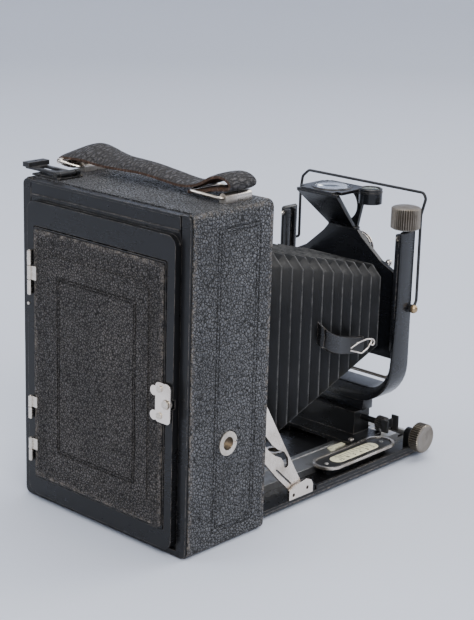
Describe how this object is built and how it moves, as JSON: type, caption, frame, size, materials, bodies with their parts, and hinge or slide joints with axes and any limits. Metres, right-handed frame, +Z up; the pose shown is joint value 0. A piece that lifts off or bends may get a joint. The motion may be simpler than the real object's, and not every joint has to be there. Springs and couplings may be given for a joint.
{
  "type": "folding plate camera",
  "caption": "Folding plate camera with the bed open, pleated bellows out on a U-shaped front standard, a hooded focusing back and a top carrying handle.",
  "frame": {"origin": "on the resting face, midway across the body and midway through its depth", "axes": "+Z up, -Y from the body towards the lens, +X to the left of someone looking at the focusing back"},
  "size_m": [0.1184, 0.1997, 0.1698],
  "materials": {
    "black_enamel": "satin black stove enamel",
    "black_leather": "grained, worn glossy on the high spots",
    "brown_leather": "dark strap leather with brown cut edges",
    "bellows_cloth": "thin skiver leather folded over card",
    "nickel": "warm nickel plate",
    "aged_nickel": "knurled nickel gone brown",
    "steel": "satin steel",
    "brass": "worn brass",
    "ivory": "ivory coloured enamel",
    "ground_glass": "finely ground on the inner face",
    "lens_glass": "polished"
  },
  "bodies": {
    "body": {"body_shell": "black_enamel", "body_leather": "black_leather", "rear_rail_frame": "black_enamel", "side_tripod_bush": "nickel", "handle_strap": "brown_leather", "handle_loops": "nickel", "handle_rollers": "nickel", "sight_base": "black_enamel", "bed_pins": "steel", "bellows_rear": "bellows_cloth"},
    "focusing_back": {"back_frame": "black_enamel", "ground_glass": "ground_glass", "glass_springs": "nickel", "frame_rivets": "nickel", "lid_hinge_fixed": "nickel", "lid_hinge_pins": "nickel"},
    "lid": {"lid_pan": "black_enamel", "hood_leaves": "black_enamel", "lid_leather": "black_leather", "lid_hinge_moving": "nickel", "latch_plate": "nickel", "latch_screws": "nickel"},
    "lid_catch": {"latch_button": "nickel"},
    "peep_sight": {"sight_leaf": "black_enamel"},
    "bed_release": {"bed_release_button": "black_leather"},
    "bed": {"bed_plate": "black_enamel", "bed_edges": "black_enamel", "bed_leather": "black_leather", "bed_feet": "nickel", "bed_guides": "steel", "bed_tripod_bush": "nickel", "strut_brackets": "nickel", "knob_bearing": "black_enamel", "scale_rim": "nickel", "scale_plate": "black_enamel", "bellows_main": "bellows_cloth"},
    "left_strut": {"strut_left": "nickel"},
    "right_strut": {"strut_right": "nickel"},
    "track": {"focus_track": "steel", "bellows_mid": "bellows_cloth"},
    "focusing_knob": {"focus_knob": "aged_nickel"},
    "standard": {"carriage_base": "black_enamel", "focus_pointer": "ivory", "u_standard": "black_enamel", "tie_rod": "nickel", "finder_pivot_screw": "brass", "bellows_fore": "bellows_cloth"},
    "clamp": {"clamp_grip": "black_enamel"},
    "rising_screw": {"rise_screw": "aged_nickel"},
    "lens_panel": {"lens_board": "black_enamel", "finder_body": "black_enamel", "finder_glass": "lens_glass", "spirit_level": "black_enamel", "shutter_case": "black_enamel", "lens_cells": "lens_glass"},
    "speed_dial": {"shutter_dial": "nickel"},
    "cocking": {"cocking_lever": "nickel"},
    "release": {"release_lever": "nickel"},
    "aperture": {"aperture_lever": "nickel"},
    "sports_finder": {"wire_finder": "black_enamel"}
  },
  "joints": [
    {"name": "back_slide", "type": "slide", "parent": "body", "child": "focusing_back", "axis": [0, 0, 1], "range_m": [0, 0.15]},
    {"name": "lid_hinge", "type": "hinge", "parent": "focusing_back", "child": "lid", "pos_m": [0.0453, 0.0304, 0.0748], "axis": [0, 0, -1], "range_deg": [0, 100]},
    {"name": "lid_catch_press", "type": "slide", "parent": "focusing_back", "child": "lid_catch", "axis": [0, -1, 0], "range_m": [0, 0.0008], "stiffness_N_per_m": 300},
    {"name": "peep_sight_hinge", "type": "hinge", "parent": "body", "child": "peep_sight", "pos_m": [0.038, 0.01375, 0.1602], "axis": [0, -1, 0], "range_deg": [0, 90]},
    {"name": "bed_release_press", "type": "slide", "parent": "body", "child": "bed_release", "axis": [-1, 0, 0], "range_m": [0, 0.001], "stiffness_N_per_m": 400},
    {"name": "bed_fold", "type": "hinge", "parent": "body", "child": "bed", "pos_m": [0, -0.0236, 0.0064], "axis": [-1, 0, 0], "range_deg": [0, 20], "deforming": ["bellows_rear"]},
    {"name": "left_strut_pivot", "type": "hinge", "parent": "bed", "child": "left_strut", "pos_m": [0.0473, -0.059, 0.0084], "axis": [1, 0, 0], "range_deg": [0, 14.4]},
    {"name": "right_strut_pivot", "type": "hinge", "parent": "bed", "child": "right_strut", "pos_m": [-0.0473, -0.059, 0.0084], "axis": [1, 0, 0], "range_deg": [0, 14.4]},
    {"name": "focusing", "type": "slide", "parent": "bed", "child": "track", "axis": [0, 1, 0], "range_m": [0, 0.012], "deforming": ["bellows_main"]},
    {"name": "focusing_knob_turn", "type": "hinge", "parent": "bed", "child": "focusing_knob", "pos_m": [-0.053, -0.1526, 0.0118], "axis": [1, 0, 0], "range_deg": [0, 214.87]},
    {"name": "standard_slide", "type": "slide", "parent": "track", "child": "standard", "axis": [0, 1, 0], "range_m": [0, 0.025], "deforming": ["bellows_mid"]},
    {"name": "clamp_pinch", "type": "slide", "parent": "standard", "child": "clamp", "axis": [1, 0, 0], "range_m": [0, 0.0012], "stiffness_N_per_m": 400},
    {"name": "front_rise", "type": "slide", "parent": "standard", "child": "lens_panel", "axis": [0, 0, 1], "range_m": [0, 0.008], "deforming": ["bellows_fore"]},
    {"name": "rise_screw_turn", "type": "hinge", "parent": "standard", "child": "rising_screw", "pos_m": [-0.039, -0.147, 0.128], "axis": [0, 0, 1], "range_deg": [0, 1440.01]},
    {"name": "speed_dial_turn", "type": "hinge", "parent": "lens_panel", "child": "speed_dial", "pos_m": [0, -0.1585, 0.104], "axis": [0, 1, 0], "range_deg": [-150, 150]},
    {"name": "cocking", "type": "hinge", "parent": "lens_panel", "child": "cocking", "pos_m": [-0.0145, -0.1578, 0.096], "axis": [0, 1, 0], "range_deg": [-35, 0], "stiffness_Nm_per_rad": 0.02},
    {"name": "release", "type": "hinge", "parent": "lens_panel", "child": "release", "pos_m": [0.019, -0.1578, 0.069], "axis": [0, 1, 0], "range_deg": [0, 15], "stiffness_Nm_per_rad": 0.02},
    {"name": "aperture", "type": "hinge", "parent": "lens_panel", "child": "aperture", "pos_m": [0, -0.1578, 0.082], "axis": [0, 1, 0], "range_deg": [-35, 35]},
    {"name": "sports_finder_fold", "type": "hinge", "parent": "standard", "child": "sports_finder", "pos_m": [-0.0422, -0.1527, 0.0802], "axis": [1, 0, 0], "range_deg": [0, 100]}
  ],
  "couplings": [
    {"joint": "left_strut_pivot", "follows": "bed_fold", "ratio": 0.72},
    {"joint": "right_strut_pivot", "follows": "bed_fold", "ratio": 0.72},
    {"joint": "focusing_knob_turn", "follows": "focusing", "rad_per_m": 312.5},
    {"joint": "rise_screw_turn", "follows": "front_rise", "rad_per_m": 3141.6}
  ]
}
